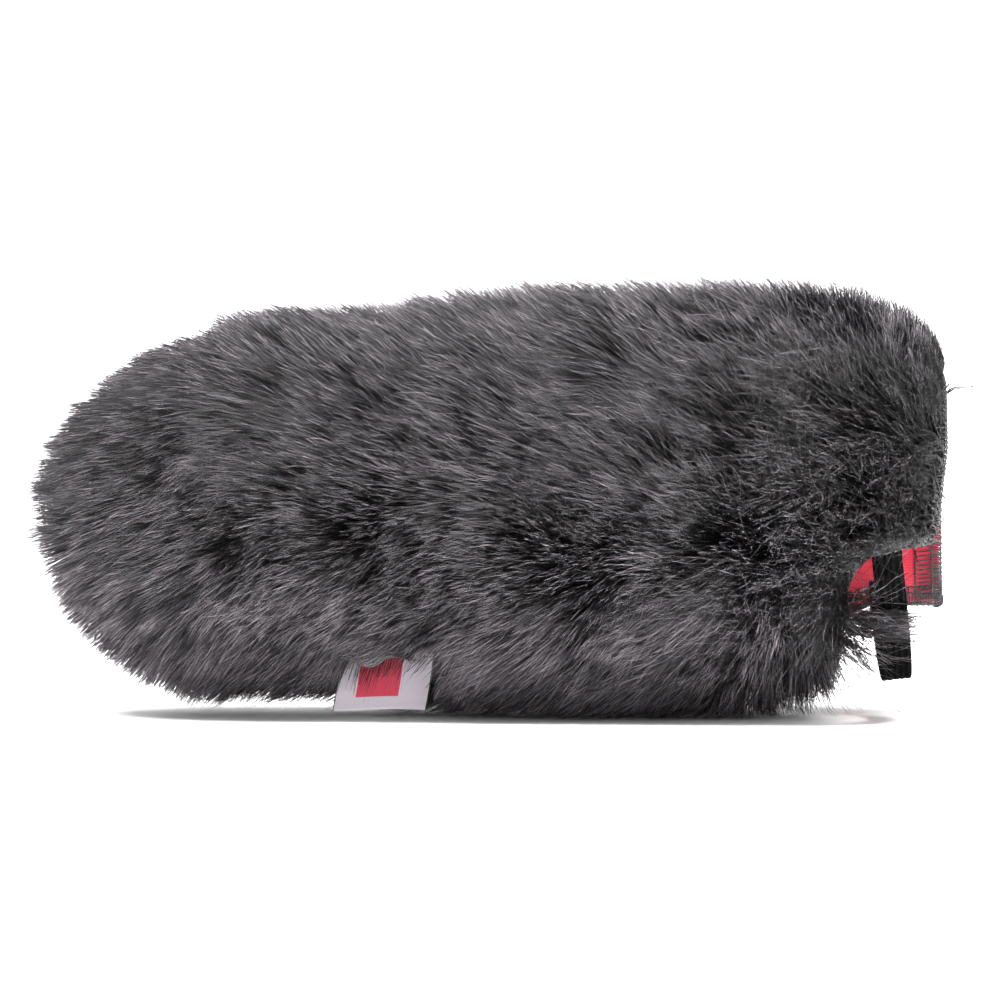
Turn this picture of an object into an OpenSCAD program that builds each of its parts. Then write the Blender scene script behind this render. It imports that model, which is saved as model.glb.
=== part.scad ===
// Furry windscreen: a slip-on cover of two long-pile panels with a knitted
// lining, over a foam core that takes a shotgun microphone. The axis runs along
// X, with the closed nose at -X and the open mouth at +X. The near panel is the
// left one (-Y). The origin is the middle of the footprint, on the surface that
// the cover rests on.

/* [Cover] */
// Length from the pile at the nose to the mouth rim
cover_length = 208; // [200:1:216]
// Height of the axis above the surface that the cover rests on
axis_height = 48; // [47.6:0.1:48.4]
// Radius of the pile where the nose meets the body
pile_nose_radius = 44; // [43:0.5:45]
// Radius of the pile over the rear half
pile_body_radius = 50; // [49:0.5:51]
// Radius of the pile where it ends at the mouth rim
pile_rim_radius = 31; // [30.5:0.5:33]
// Width of the gap between the two pile panels along the seam
panel_gap = 0.2; // [0.1:0.05:0.4]

/* [Lining] */
// Inside radius of the lining behind the nose
lining_front_radius = 26; // [25.8:0.1:26.4]
// Inside radius of the lining over the rear half
lining_body_radius = 28; // [27.5:0.1:28.5]
// Inside radius of the lining at the mouth
lining_mouth_radius = 27; // [26.8:0.1:27.2]
// Thickness of the knitted lining
lining_thickness = 0.8; // [0.5:0.1:0.9]
// Thickness of the knitted backing that holds the pile
backing_thickness = 1; // [0.8:0.1:1.1]

/* [Foam core] */
// Outside radius of the foam core
foam_radius = 25; // [24:0.1:25]
// Length of the foam core
foam_length = 163; // [155:1:164]
// Radius of the bore that grips the microphone
mic_bore_radius = 10; // [9.5:0.1:11]
// Depth of the microphone bore
mic_bore_depth = 140; // [120:1:142]

/* [Elastic strap] */
// Width of the elastic
strap_width = 6.7; // [6:0.1:7]
// Thickness of the elastic
strap_thickness = 1; // [0.8:0.1:1]
// Place of the strap's middle, forward of the rim
strap_inset = 13.5; // [13:0.1:14]
// How far the loop hangs below the line through its two ends
loop_depth = 21.6; // [20:0.1:23.6]
// Lean of the hanging loop towards the mouth
loop_lean = 6.5; // [0:0.5:8]

/* [Label] */
// Width of the folded satin label
label_width = 21; // [18:0.5:21]
// Length of the label outside the seam
label_length = 19.8; // [15:0.1:19.8]
// Thickness of the folded label
label_thickness = 0.8; // [0.5:0.1:0.8]
// Place of the label's middle along the axis
label_x = -21; // [-24:0.5:-19]
// Lean of the label towards the near side
label_lean = 34; // [34:1:40]

/* [Hidden] */
$fn = 96;

pile_grey = "#4a4749";
lining_red = "#c9455a";
thread_grey = "#3b393c";
elastic_black = "#1c1a1b";
satin_silver = "#cfc8d0";
foam_charcoal = "#2d2c2e";

fit_gap = 0.05;         // between layers that lie against each other
nose_x = -cover_length / 2;
rim_x = cover_length / 2;
fabric_end_x = rim_x - 0.8;     // the overlock thread wraps the last 0.8 mm

// The pile's outline: an elliptical nose, a rise to the body, and a shoulder.
nose_end_x = -48;
pile_rise = 70;
shoulder_x = 70;
nose_steps = 14;
body_steps = 12;
shoulder_steps = 8;

// The lining's outline: an elliptical nose, a rise, and a gathered mouth.
sock_nose_x = -84;
sock_nose_length = 30;
sock_rise = 80;
gather_start_x = 60;
gather_end_x = 80;

// The pile panels start outside the lining.
backing_offset = lining_thickness + fit_gap;
fabric_offset = backing_offset + backing_thickness;
seam_width = 0.9;
seam_depth = 1.75;

// Side outlines of the openings cut back from the slit, as X and height from the axis.
slit_x = rim_x - 24;
slit_left = [[rim_x + 9, 24], [rim_x, 18.4], [102.2, 4], [101, -5], [100.2, -7.6], [95, -8.6],
    [91, -9.6], [86.8, -10.4], [83.4, -13.6], [81.8, -17], [81, -21.5], [slit_x, -27],
    [slit_x, -60], [rim_x + 9, -60]];
slit_right = [[rim_x + 9, -22.4], [87.5, -22.4], [84.2, -23.2], [82, -24.8], [slit_x, -27],
    [slit_x, -60], [rim_x + 9, -60]];
overlock_shift = [0.5, -0.75];
overlock_depth = 0.35;
overlock_ladder = 5.6;          // width of the stitches seen inside the rim
overlock_outer = 2.3;

// The elastic's ends lie inside the lining; the loop swings about the line through them.
strap_x = rim_x - strap_inset;
strap_mid_radius = lining_mouth_radius - 2 * fit_gap - strap_thickness / 2;
strap_end_angle = 16;           // degrees of the mouth's circle that each sewn end covers
strap_left_angle = -63;         // where the loop leaves the near panel, from straight down
strap_right_angle = 27.6;       // and the far panel
chord_half = strap_mid_radius * sin((strap_right_angle - strap_left_angle) / 2);
chord_drop = strap_mid_radius * cos((strap_right_angle - strap_left_angle) / 2);
chord_tilt = (strap_right_angle + strap_left_angle) / 2;
loop_steps = 28;
loop_start = 2;                 // degrees round the loop's ellipse where it begins
strap_end_gap = 1.2;            // degrees between the hinge line and each sewn end
taper_height = 6;               // the loop narrows here, so that it can swing past its sewn ends
taper_width = 1.2;

tack_thickness = 0.3;
tack_bar = 0.9;

label_swing = [-8, 26];
label_hinge_drop = 0.8;         // from the closing seam down to the label's own hinge line
label_room = 0.7;

function smooth(t) = let(c = min(max(t, 0), 1)) c * c * (3 - 2 * c);

// Outline of an elliptical nose, as radius and X, from the tip to its widest point.
function nose_points(tip_x, length, radius) =
    [for (i = [0 : nose_steps]) let(a = 90 * i / nose_steps)
        [radius * sin(a), tip_x + length * (1 - cos(a))]];

function pile_body_r(x) = pile_nose_radius
    + (pile_body_radius - pile_nose_radius) * smooth((x - nose_end_x) / pile_rise);

function lining_r(x) = lining_front_radius
    + (lining_body_radius - lining_front_radius)
        * smooth((x - sock_nose_x - sock_nose_length) / sock_rise)
    - (lining_body_radius - lining_mouth_radius)
        * smooth((x - gather_start_x) / (gather_end_x - gather_start_x));

// Outer outline of the pile, from the nose tip to the rim.
function pile_outline() = concat(
    nose_points(nose_x, nose_end_x - nose_x, pile_nose_radius),
    [for (i = [1 : body_steps])
        let(x = nose_end_x + (shoulder_x - nose_end_x) * i / body_steps)
            [pile_body_r(x), x]],
    [for (i = [1 : shoulder_steps]) let(a = 90 * i / shoulder_steps)
        [pile_rim_radius + (pile_body_radius - pile_rim_radius) * cos(a),
            shoulder_x + (fabric_end_x - shoulder_x) * sin(a)]]);

// Outline at a given distance outside the lining's inner face, from the nose tip back.
function sock_outline(offset_out, end_x) = concat(
    nose_points(sock_nose_x - offset_out, sock_nose_length + offset_out,
        lining_front_radius + offset_out),
    [for (i = [1 : body_steps])
        let(start = sock_nose_x + sock_nose_length,
            x = start + (gather_end_x - start) * i / body_steps)
            [lining_r(x) + offset_out, x]],
    [[lining_mouth_radius + offset_out, end_x]]);

function label_hinge_height() = -lining_r(label_x + label_width / 2) - seam_depth
    - label_hinge_drop;

function reversed(list) = [for (i = [len(list) - 1 : -1 : 0]) list[i]];

// Turns a radius-and-X outline about the cover's axis.
module around_axis(start = 0, sweep = 360) {
    translate([0, 0, axis_height])
        rotate([0, 90, 0])
            rotate([0, 0, start])
                rotate_extrude(angle = sweep)
                    children();
}

// Extrudes an X-and-height outline, measured from the axis, across Y.
module across(y0, y1) {
    translate([0, y1, axis_height])
        rotate([90, 0, 0])
            linear_extrude(height = y1 - y0)
                children();
}

module half_space(side, gap) {
    translate([-rim_x - 10, side > 0 ? gap / 2 : -rim_x - gap / 2, -10])
        cube([2 * rim_x + 20, rim_x, 2 * rim_x]);
}

module slit_cut(side) {
    if (side < 0)
        across(-rim_x, 0) polygon(slit_left);
    else
        across(0, rim_x) polygon(slit_right);
}

// Room for the label to swing in, between the two pile panels.
module label_space() {
    low = label_lean + label_swing[0];
    high = label_lean + label_swing[1];
    reach = 30;
    translate([label_x, 0, axis_height + label_hinge_height()])
        rotate([90, 0, 90])
            linear_extrude(height = label_width + 2 * label_room, center = true)
                polygon([
                    [0, label_room],
                    [label_room * cos(low), -label_room * sin(low)],
                    [label_room * cos(low) - reach * sin(low),
                        -label_room * sin(low) - reach * cos(low)],
                    [-label_room * cos(high) - reach * sin(high),
                        label_room * sin(high) - reach * cos(high)],
                    [-label_room * cos(high), label_room * sin(high)]]);
}

// Channel for the closing seam, where the two panels meet.
module seam_band(depth_in, depth_out, width) {
    outer = sock_outline(depth_out, fabric_end_x);
    inner = sock_outline(depth_in, fabric_end_x);
    difference() {
        across(-width / 2, width / 2)
            polygon(concat(
                [for (p = reversed(outer)) [p[1], p[0]]],
                [for (p = outer) if (p[0] > 0) [p[1], -p[0]]],
                [for (p = reversed(inner)) [p[1], -p[0]]],
                [for (p = inner) if (p[0] > 0) [p[1], p[0]]]));
        slit_cut(-1);
        slit_cut(1);
    }
}

module fur_panel(side) {
    difference() {
        intersection() {
            around_axis()
                polygon(concat(pile_outline(),
                    reversed(sock_outline(backing_offset, fabric_end_x))));
            half_space(side, panel_gap);
        }
        slit_cut(side);
        label_space();
        seam_band(-1, seam_depth + fit_gap, seam_width + 2 * fit_gap);
        // groove for the outer leg of the rim's overlock stitches
        around_axis()
            translate([lining_mouth_radius + fabric_offset, rim_x - overlock_outer - fit_gap])
                square([overlock_depth + 2 * fit_gap, overlock_outer]);
        // flat underside, where the pile is pressed by the cover's weight
        translate([-rim_x - 10, -rim_x, -20])
            cube([2 * rim_x + 20, 2 * rim_x, 20]);
    }
}

module fur_left() color(pile_grey) fur_panel(-1);

module fur_right() color(pile_grey) fur_panel(1);

module lining_panel(side) {
    difference() {
        intersection() {
            around_axis()
                polygon(concat(sock_outline(lining_thickness, fabric_end_x),
                    reversed(sock_outline(0, fabric_end_x))));
            half_space(side, panel_gap);
        }
        slit_cut(side);
        seam_band(-1, seam_depth + fit_gap, seam_width + 2 * fit_gap);
    }
}

module lining_left() color(lining_red) lining_panel(-1);

module lining_right() color(lining_red) lining_panel(1);

module closing_seam() color(thread_grey) seam_band(0, seam_depth, seam_width);

// C-shaped band of stitches that wraps the mouth's edge.
module rim_overlock() {
    inner = lining_mouth_radius - fit_gap;
    outer = lining_mouth_radius + fabric_offset + fit_gap;
    color(thread_grey)
        difference() {
            around_axis()
                polygon([
                    [inner - overlock_depth, rim_x - overlock_ladder],
                    [inner - overlock_depth, rim_x],
                    [outer + overlock_depth - fit_gap, rim_x],
                    [outer + overlock_depth - fit_gap, rim_x - overlock_outer],
                    [outer, rim_x - overlock_outer],
                    [outer, fabric_end_x + fit_gap],
                    [inner, fabric_end_x + fit_gap],
                    [inner, rim_x - overlock_ladder]]);
            slit_cut(-1);
            slit_cut(1);
        }
}

// Bead of stitches along one cut edge of the slit.
module slit_overlock(side) {
    color(thread_grey)
        intersection() {
            around_axis()
                translate([lining_mouth_radius - fit_gap, slit_x - 1])
                    square([fabric_offset + 2 * fit_gap, rim_x - slit_x + 1]);
            half_space(side, panel_gap);
            difference() {
                slit_cut(side);
                translate([overlock_shift[0], 0, overlock_shift[1]])
                    across(-rim_x, rim_x) polygon(side < 0 ? slit_left : slit_right);
            }
        }
}

module slit_overlock_left() slit_overlock(-1);

module slit_overlock_right() slit_overlock(1);

// Dense cross stitches inside the lining, where the closing seam ends.
module slit_bartack() {
    length = 6;
    height = 0.5;
    color(thread_grey)
        for (i = [0 : 1])
            translate([slit_x - 2.2 - 1.4 * i, -length / 2,
                    axis_height - lining_mouth_radius + 0.25])
                cube([0.9, length, height]);
}

// Curved plate on the inside of the mouth, between two angles from straight down.
module mouth_plate(radius, thickness, x, width, angle, sweep) {
    around_axis(angle, sweep)
        translate([radius - thickness / 2, x - width / 2])
            square([thickness, width]);
}

module strap_end_left()
    color(elastic_black)
        mouth_plate(strap_mid_radius, strap_thickness, strap_x, strap_width,
            strap_left_angle - strap_end_gap - strap_end_angle, strap_end_angle);

module strap_end_right()
    color(elastic_black)
        mouth_plate(strap_mid_radius, strap_thickness, strap_x, strap_width,
            strap_right_angle + strap_end_gap, strap_end_angle);

// Two bars of stitches across each sewn end.
module strap_tack(angle) {
    radius = strap_mid_radius - strap_thickness / 2 - fit_gap - tack_thickness / 2;
    bar_sweep = tack_bar * 180 / (PI * radius);
    color(thread_grey)
        for (turn = [0.2, 0.68])
            mouth_plate(radius, tack_thickness, strap_x, strap_width - 0.9,
                angle + turn * strap_end_angle, bar_sweep);
}

module strap_tack_left() strap_tack(strap_left_angle - strap_end_gap - strap_end_angle);

module strap_tack_right() strap_tack(strap_right_angle + strap_end_gap);

// Half-elliptical loop of flat elastic, hanging from the line through its ends.
module strap_loop() {
    function rim(half, sign) =
        [for (i = [0 : loop_steps])
            let(a = loop_start + (180 - 2 * loop_start) * (sign > 0 ? i : loop_steps - i) / loop_steps)
                [-(chord_half + half) * cos(a), -(loop_depth + half) * sin(a)]];
    color(elastic_black)
        translate([strap_x, 0, axis_height])
            rotate([chord_tilt, 0, 0])
                translate([0, 0, -chord_drop])
                    rotate([0, -loop_lean, 0])
                        intersection() {
                            rotate([90, 0, 90])
                                linear_extrude(height = strap_width, center = true)
                                    polygon(concat(rim(strap_thickness / 2, 1),
                                        rim(-strap_thickness / 2, -1)));
                            rotate([90, 0, 0])
                                linear_extrude(height = 4 * chord_half, center = true)
                                    polygon([
                                        [-taper_width / 2, 0],
                                        [-strap_width / 2, -taper_height],
                                        [-strap_width / 2, -2 * loop_depth],
                                        [strap_width / 2, -2 * loop_depth],
                                        [strap_width / 2, -taper_height],
                                        [taper_width / 2, 0]]);
                        }
}

// Folded label that hangs from the closing seam, with its round fold at the bottom.
module label() {
    fold = label_thickness / 2;
    color(satin_silver)
        translate([label_x, 0, axis_height + label_hinge_height()])
            rotate([-label_lean, 0, 0])
                union() {
                    translate([-label_width / 2, -fold, fold - label_length])
                        cube([label_width, label_thickness, label_length - fold]);
                    translate([-label_width / 2, 0, fold - label_length])
                        rotate([0, 90, 0])
                            cylinder(r = fold, h = label_width, $fn = 24);
                }
}

// Foam core with a blind bore for the microphone, open towards the mouth.
module foam_core() {
    tip_x = sock_nose_x + 1;
    end_x = tip_x + foam_length;
    edge = 1.5;
    color(foam_charcoal)
        difference() {
            around_axis()
                polygon(concat(
                    nose_points(tip_x, sock_nose_length - 1, foam_radius),
                    [[foam_radius, end_x - edge], [foam_radius - edge, end_x], [0, end_x]]));
            around_axis()
                translate([0, end_x - mic_bore_depth])
                    square([mic_bore_radius, mic_bore_depth + 1]);
        }
}

fur_left();
fur_right();
lining_left();
lining_right();
closing_seam();
rim_overlock();
slit_overlock_left();
slit_overlock_right();
slit_bartack();
strap_end_left();
strap_end_right();
strap_tack_left();
strap_tack_right();
strap_loop();
label();
foam_core();
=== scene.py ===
# Looks of the furry windscreen: long pile, knitted lining, overlock stitches, elastic, label and foam.
from math import atan2, cos, hypot, pi, radians, sin, sqrt, tan
from types import SimpleNamespace

import bpy
import numpy as np
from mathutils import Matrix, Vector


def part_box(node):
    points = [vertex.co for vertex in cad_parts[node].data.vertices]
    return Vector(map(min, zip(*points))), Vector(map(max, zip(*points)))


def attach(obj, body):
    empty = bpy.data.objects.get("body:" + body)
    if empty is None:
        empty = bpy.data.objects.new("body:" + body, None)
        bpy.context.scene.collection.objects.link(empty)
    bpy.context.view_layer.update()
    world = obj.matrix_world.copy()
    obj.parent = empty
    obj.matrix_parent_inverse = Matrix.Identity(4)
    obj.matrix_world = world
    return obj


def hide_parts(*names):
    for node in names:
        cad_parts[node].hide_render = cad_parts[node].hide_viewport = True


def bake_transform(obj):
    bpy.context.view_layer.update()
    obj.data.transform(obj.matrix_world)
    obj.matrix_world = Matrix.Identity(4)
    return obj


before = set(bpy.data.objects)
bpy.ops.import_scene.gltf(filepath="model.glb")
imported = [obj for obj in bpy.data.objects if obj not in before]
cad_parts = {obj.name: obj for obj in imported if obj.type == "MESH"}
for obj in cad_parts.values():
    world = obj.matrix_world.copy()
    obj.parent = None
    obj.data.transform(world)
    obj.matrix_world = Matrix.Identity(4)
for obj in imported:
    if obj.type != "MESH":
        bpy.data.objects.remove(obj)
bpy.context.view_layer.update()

MM = 0.001
TINY = 1e-12                    # keeps a division by a length of nothing from failing
NEAR = -1
FAR = 1
SIDE_NAMES = {NEAR: "left", FAR: "right"}

# ---- the cover's shape, as in the CAD part

foam_low, foam_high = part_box("foam_core")
AXIS_HEIGHT = (foam_low.z + foam_high.z) / 2
RIM_X = 104 * MM
FABRIC_END_X = 103.2 * MM
SOCK_NOSE_X = -84 * MM
SOCK_NOSE_LENGTH = 30 * MM
SOCK_NOSE_END_X = SOCK_NOSE_X + SOCK_NOSE_LENGTH
SOCK_RISE = 80 * MM
GATHER_START_X = 60 * MM
GATHER_LENGTH = 20 * MM
LINING_FRONT_RADIUS = 26 * MM
LINING_BODY_RADIUS = 28 * MM
LINING_MOUTH_RADIUS = 27 * MM
FABRIC_OFFSET = 1.85 * MM       # from the lining's inner face to the pile backing's outer one
LINING_FACES = (0, 0.8 * MM)
BACKING_FACES = (0.85 * MM, FABRIC_OFFSET)
PILE_NOSE_RADIUS = 44 * MM
PILE_BODY_RADIUS = 50 * MM
PILE_RIM_RADIUS = 31 * MM
NOSE_END_X = -48 * MM
PILE_RISE = 70 * MM
SHOULDER_X = 70 * MM
SLIT_X = 80 * MM
FLAT_RADIUS = LINING_MOUTH_RADIUS + FABRIC_OFFSET / 2

# Edges of the slit at the mouth, from the bar tack to the rim, as X and height from the axis.
SLIT_EDGES = {
    NEAR: [(80, -27), (81, -21.5), (81.8, -17), (83.4, -13.6), (86.8, -10.4), (91, -9.6), (95, -8.6),
           (100.2, -7.6), (101, -5), (102.2, 4), (103.2, 12)],
    FAR: [(80, -27), (82, -24.8), (84.2, -23.2), (87.5, -22.4), (103.2, -22.4)],
}

STRAP_X = 90.5 * MM
STRAP_WIDTH = 6.7 * MM
STRAP_THICKNESS = 1 * MM
STRAP_RADIUS = 26.4 * MM
STRAP_NEAR_ANGLE = radians(-63)
STRAP_FAR_ANGLE = radians(27.6)
STRAP_END_SWEEP = radians(17.2)
LOOP_DEPTH = 21.6 * MM
LOOP_LEAN = radians(6.5)

LABEL_LEAN = radians(34)
LABEL_LENGTH = 19.8 * MM
LABEL_WIDTH = 21 * MM
LABEL_X = -21 * MM
LABEL_HINGE_HEIGHT = 18.32 * MM
LABEL_SHOWS = 13.5 * MM         # the pile leaves the label free below this height


def smooth(t):
    """Runs from 0 to 1 without a corner."""
    c = np.clip(t, 0, 1)
    return c * c * (3 - 2 * c)


def fade_in(value, start, width):
    """0 up to start, and 1 from a width past it."""
    return smooth((value - start) / width)


def fade_out(value, end, width):
    """1 until a width before end, and 0 past it."""
    return smooth((end - value) / width)


def pair(first, second):
    """Two arrays as the coordinates of one array of points."""
    return np.stack(np.broadcast_arrays(first, second), axis=-1)


def lining_radius(x):
    """Inner radius of the lining behind the nose."""
    rise = (LINING_BODY_RADIUS - LINING_FRONT_RADIUS) * fade_in(x, SOCK_NOSE_END_X, SOCK_RISE)
    gather = (LINING_BODY_RADIUS - LINING_MOUTH_RADIUS) * fade_in(x, GATHER_START_X, GATHER_LENGTH)
    return LINING_FRONT_RADIUS + rise - gather


def sock_outline(offset, step=1 * MM):
    """X and radius from the nose tip to the rim, at a distance outside the lining's inner face."""
    turn = np.radians(np.linspace(1.5, 90, 46))
    nose_x = SOCK_NOSE_X - offset + (SOCK_NOSE_LENGTH + offset) * (1 - np.cos(turn))
    nose_r = (LINING_FRONT_RADIUS + offset) * np.sin(turn)
    body_steps = int((FABRIC_END_X - SOCK_NOSE_END_X) / step)
    body_x = np.linspace(SOCK_NOSE_END_X, FABRIC_END_X, body_steps + 1)[1:]
    return np.concatenate([nose_x, body_x]), np.concatenate([nose_r, lining_radius(body_x) + offset])


def wrap(x, radius, angle):
    """Points round the axis. Angle 0 is straight down, and grows towards the far side."""
    x, radius, angle = np.broadcast_arrays(x, radius, angle)
    return np.stack([x, radius * np.sin(angle), AXIS_HEIGHT - radius * np.cos(angle)], axis=-1)


def slit_angle(side, x):
    """How far from straight down a panel's lower edge is at x: 0 along the seam, more beside the slit."""
    edge = np.array(SLIT_EDGES[side]) * MM
    angle = np.arccos(np.clip(-edge[:, 1] / LINING_MOUTH_RADIUS, -1, 1))
    return np.interp(x, edge[:, 0], angle, left=0)


def pile_radius(x):
    """Radius of the pile's outline: an elliptical nose, a rise to the body, and a shoulder at the rim."""
    body = PILE_NOSE_RADIUS + (PILE_BODY_RADIUS - PILE_NOSE_RADIUS) * fade_in(x, NOSE_END_X, PILE_RISE)
    nose = PILE_NOSE_RADIUS * np.sqrt(np.clip(1 - ((NOSE_END_X - x) / (NOSE_END_X + RIM_X)) ** 2, 0, 1))
    shoulder = PILE_RIM_RADIUS + (PILE_BODY_RADIUS - PILE_RIM_RADIUS) * np.sqrt(
        np.clip(1 - ((x - SHOULDER_X) / (RIM_X - SHOULDER_X)) ** 2, 0, 1))
    return np.where(x < NOSE_END_X, nose, np.where(x > SHOULDER_X, shoulder, body))


def length_of(vectors):
    return np.linalg.norm(vectors, axis=-1, keepdims=True)


def unit(vectors):
    return vectors / np.maximum(length_of(vectors), TINY)


def distance_along(line):
    """Distance from a line's start to each of its points."""
    return np.concatenate([[0], np.cumsum(length_of(np.diff(line, axis=0))[:, 0])])


class SmoothNoise:
    """A seeded smooth random field with values around -1 to 1."""

    def __init__(self, seed, wavelength, waves=14):
        dice = np.random.default_rng(seed)
        self.directions = unit(dice.normal(size=(waves, 3))) * (2 * pi / wavelength)
        self.directions *= dice.uniform(0.7, 1.4, size=(waves, 1))
        self.phases = dice.uniform(0, 2 * pi, size=waves)

    def __call__(self, points):
        waves = np.sin(points @ self.directions.T + self.phases)
        return waves.sum(axis=-1) * sqrt(2 / len(self.phases))


# ---- mesh helpers


def new_object(name, vertices, loops, totals, uv, uv_name="UVMap"):
    """An object from flat arrays of corners and of corner counts for each face."""
    mesh = bpy.data.meshes.new(name)
    totals = np.asarray(totals, np.int32)
    mesh.vertices.add(len(vertices))
    mesh.vertices.foreach_set("co", np.asarray(vertices, np.float32).ravel())
    mesh.loops.add(len(loops))
    mesh.loops.foreach_set("vertex_index", np.asarray(loops, np.int32))
    mesh.polygons.add(len(totals))
    mesh.polygons.foreach_set("loop_start", np.concatenate([[0], np.cumsum(totals)[:-1]]).astype(np.int32))
    mesh.polygons.foreach_set("use_smooth", np.ones(len(totals), bool))
    layer = mesh.uv_layers.new(name=uv_name)
    layer.data.foreach_set("uv", np.asarray(uv, np.float32).ravel())
    mesh.update(calc_edges=True)
    obj = bpy.data.objects.new(name, mesh)
    bpy.context.scene.collection.objects.link(obj)
    return obj


class Soup:
    """Collects quads and their flat coordinates from several parts into one mesh."""

    def __init__(self):
        self.vertices = []
        self.quads = []
        self.uv = []
        self.count = 0

    def add_grid(self, points, flat, close_u=False, flip=False):
        """points is rows by columns by 3. close_u joins the last column to the first."""
        rows, columns = points.shape[:2]
        index = np.arange(rows * columns).reshape(rows, columns) + self.count
        if close_u:
            index = np.concatenate([index, index[:, :1]], axis=1)
        quads = np.stack([index[:-1, :-1], index[:-1, 1:], index[1:, 1:], index[1:, :-1]], axis=-1)
        quads = quads.reshape(-1, 4)
        self.quads.append(quads[:, ::-1] if flip else quads)
        self.vertices.append(points.reshape(-1, 3))
        self.uv.append(flat.reshape(-1, 2))
        self.count += rows * columns
        return index

    def add_strip(self, first, second, flip=False):
        """Joins two rows of vertices that are already there."""
        quads = np.stack([first[:-1], first[1:], second[1:], second[:-1]], axis=-1)
        self.quads.append(quads[:, ::-1] if flip else quads)

    def build(self, name):
        vertices = np.concatenate(self.vertices)
        quads = np.concatenate(self.quads)
        uv = np.concatenate(self.uv)
        return new_object(name, vertices, quads.ravel(), np.full(len(quads), 4), uv[quads.ravel()])


def shell(name, inner, outer, flat):
    """Cloth with a thickness: two grids of points joined round their border."""
    soup = Soup()
    a = soup.add_grid(inner, flat)
    b = soup.add_grid(outer, flat, flip=True)
    soup.add_strip(a[0], b[0], flip=True)
    soup.add_strip(a[-1], b[-1])
    soup.add_strip(a[:, 0], b[:, 0])
    soup.add_strip(a[:, -1], b[:, -1], flip=True)
    return soup.build(name)


THREAD_SIDES = 6
THREAD_END_TAPER = 0.15
THREAD_REFERENCE = np.array([0.21, 0.35, 0.91])     # a direction that no thread follows
HAIR_REFERENCE = np.array([0.31, 0.17, 0.93])


def add_tube(soup, path, radius):
    """A round thread along a path, narrowed at both ends."""
    path = np.asarray(path, float)
    tangent = unit(np.gradient(path, axis=0))
    side = unit(np.cross(tangent, THREAD_REFERENCE))
    other = np.cross(tangent, side)
    turn = np.arange(THREAD_SIDES) * 2 * pi / THREAD_SIDES
    thickness = np.full(len(path), radius)
    thickness[[0, -1]] *= THREAD_END_TAPER
    rings = path[:, None] + thickness[:, None, None] * (
        np.cos(turn)[None, :, None] * side[:, None] + np.sin(turn)[None, :, None] * other[:, None])
    soup.add_grid(rings, pair(distance_along(path)[:, None], (turn * radius)[None, :]), close_u=True)


def finish_piece(obj, material, body, node):
    """Gives a piece its material and the body it rides on, and hides the CAD node it stands for."""
    obj.data.materials.append(material)
    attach(obj, body)
    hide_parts(node)
    return obj


# ---- materials


class Nodes:
    """A material's node tree, with short ways to add and join its nodes."""

    def __init__(self, name, roughness, sheen=0, sheen_roughness=0.5, specular=0.5):
        self.material = bpy.data.materials.new(name)
        self.material.use_nodes = True
        self.tree = self.material.node_tree
        self.shader = self.tree.nodes["Principled BSDF"]
        finish = {"Roughness": roughness, "Sheen Weight": sheen, "Sheen Roughness": sheen_roughness,
                  "Specular IOR Level": specular}
        for socket, value in finish.items():
            self.shader.inputs[socket].default_value = value

    def add(self, kind, **settings):
        node = self.tree.nodes.new(kind)
        for key, value in settings.items():
            if key in node.inputs:
                node.inputs[key].default_value = value
            else:
                setattr(node, key, value)
        return node

    def feed(self, socket, value):
        """Joins an output to a socket, or sets the socket to a plain value."""
        if isinstance(value, bpy.types.NodeSocket):
            self.tree.links.new(value, socket)
        else:
            socket.default_value = value

    def maths(self, operation, first, second=0.0):
        """A Math node on two values or outputs."""
        node = self.add("ShaderNodeMath", operation=operation)
        self.feed(node.inputs[0], first)
        self.feed(node.inputs[1], second)
        return node.outputs[0]

    def flat_position(self, layer="UVMap"):
        """The two coordinates of a UV layer, as separate outputs."""
        uv = self.add("ShaderNodeUVMap", uv_map=layer)
        split = self.add("ShaderNodeSeparateXYZ")
        self.feed(split.inputs[0], uv.outputs[0])
        return split.outputs[0], split.outputs[1]

    def ripple(self, position, pitch):
        """A sine of 0 to 1 that repeats at a pitch."""
        angle = self.maths("MULTIPLY", position, 2 * pi / pitch)
        wave = self.maths("SINE", angle)
        return self.maths("ADD", self.maths("MULTIPLY", wave, 0.5), 0.5)

    def mix(self, factor, first, second):
        """A colour between two, by a value or an output."""
        node = self.add("ShaderNodeMix", data_type="RGBA")
        sockets = [s for s in node.inputs if s.enabled]
        for socket, value in zip(sockets, (factor, first, second)):
            self.feed(socket, value)
        return [s for s in node.outputs if s.enabled][0]

    def texture(self, kind, **settings):
        """A solid texture over the object's own space."""
        place = self.add("ShaderNodeTexCoord")
        node = self.add(kind, **settings)
        self.feed(node.inputs["Vector"], place.outputs["Object"])
        return node.outputs[0]

    def colour(self, value):
        self.feed(self.shader.inputs["Base Color"], value)

    def bump(self, height, depth):
        node = self.add("ShaderNodeBump", Distance=depth)
        self.feed(node.inputs["Height"], height)
        self.feed(self.shader.inputs["Normal"], node.outputs[0])


def grey(value, red=1.0, green=1.0, blue=1.0):
    return (value * red, value * green, value * blue, 1.0)


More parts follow.
